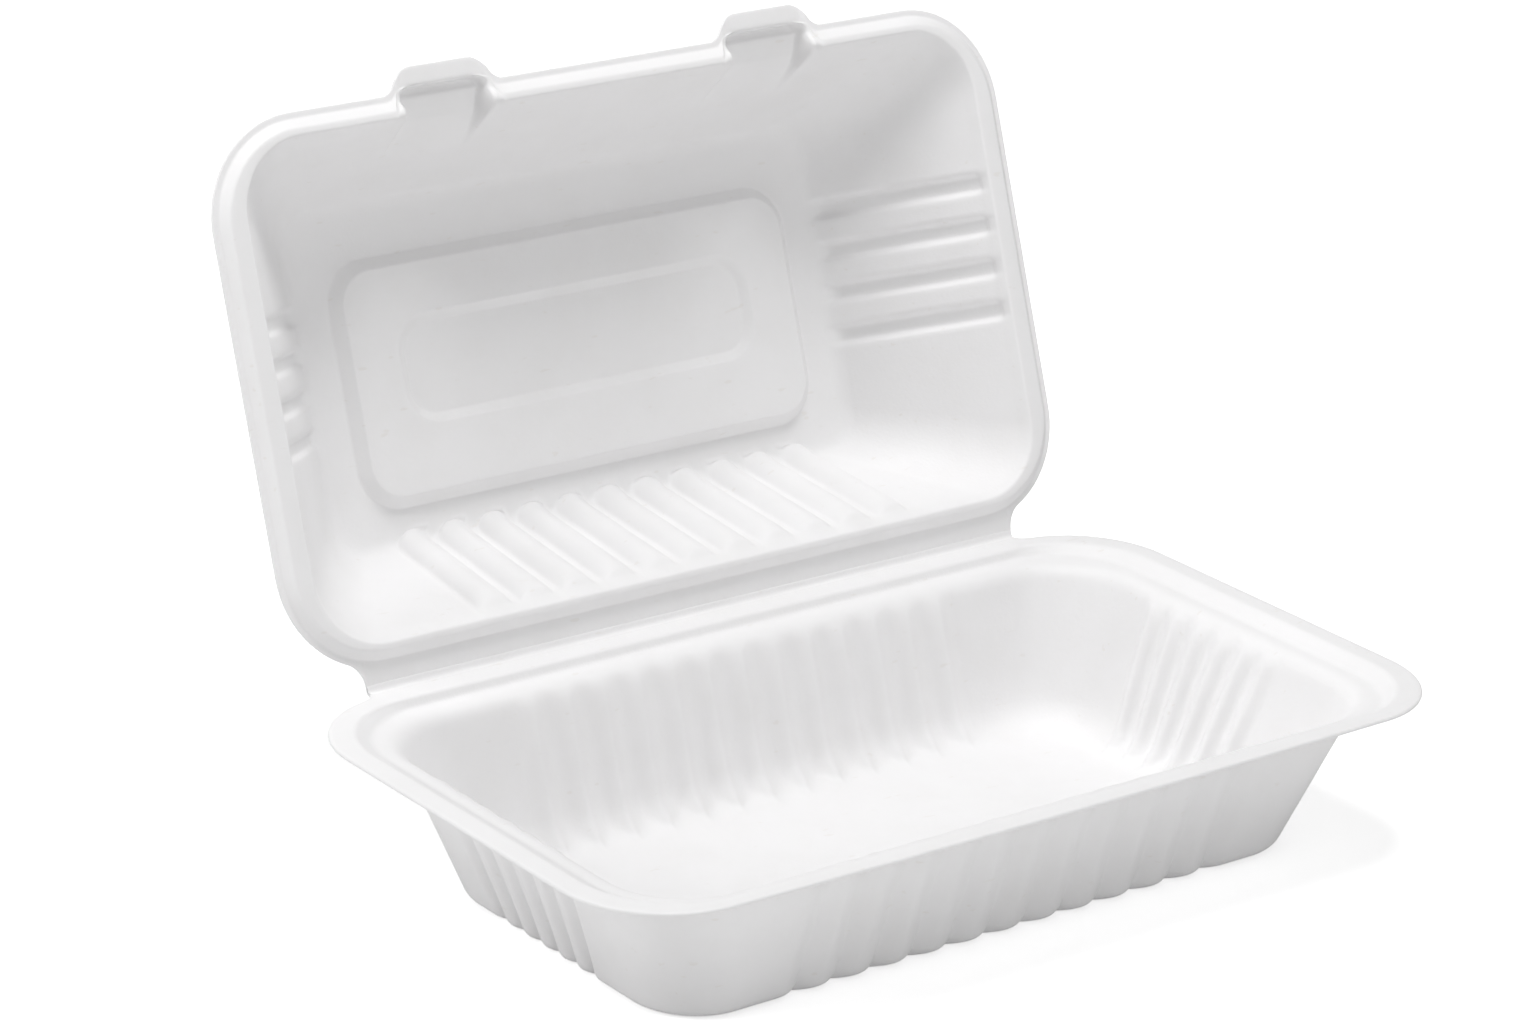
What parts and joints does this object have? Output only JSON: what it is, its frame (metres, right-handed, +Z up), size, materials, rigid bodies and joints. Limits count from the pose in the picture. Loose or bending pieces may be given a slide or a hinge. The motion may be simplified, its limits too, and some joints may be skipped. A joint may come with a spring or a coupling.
{
  "type": "hinged moulded fibre food box",
  "caption": "Take-away food box of moulded sugar cane fibre: fluted tray and deep lid with two closing tabs, joined by a fold along the rear edge.",
  "frame": {"origin": "middle of the flat floor face that the tray stands on", "axes": "+X along the box to the right of someone facing its front, +Y from the front to the fold, +Z up"},
  "size_m": [0.23, 0.199, 0.1627],
  "materials": {
    "tray_fibre": "matt white moulded fibre, smoother inside than outside",
    "lid_fibre": "matt white moulded fibre, smoother inside than outside"
  },
  "bodies": {
    "tray": {"tray": "tray_fibre"},
    "lid": {"lid": "lid_fibre"}
  },
  "joints": [
    {"name": "fold", "type": "hinge", "parent": "tray", "child": "lid", "pos_m": [0, 0.06645, 0.0375], "axis": [1, 0, 0], "range_deg": [-70, 109.9]}
  ]
}
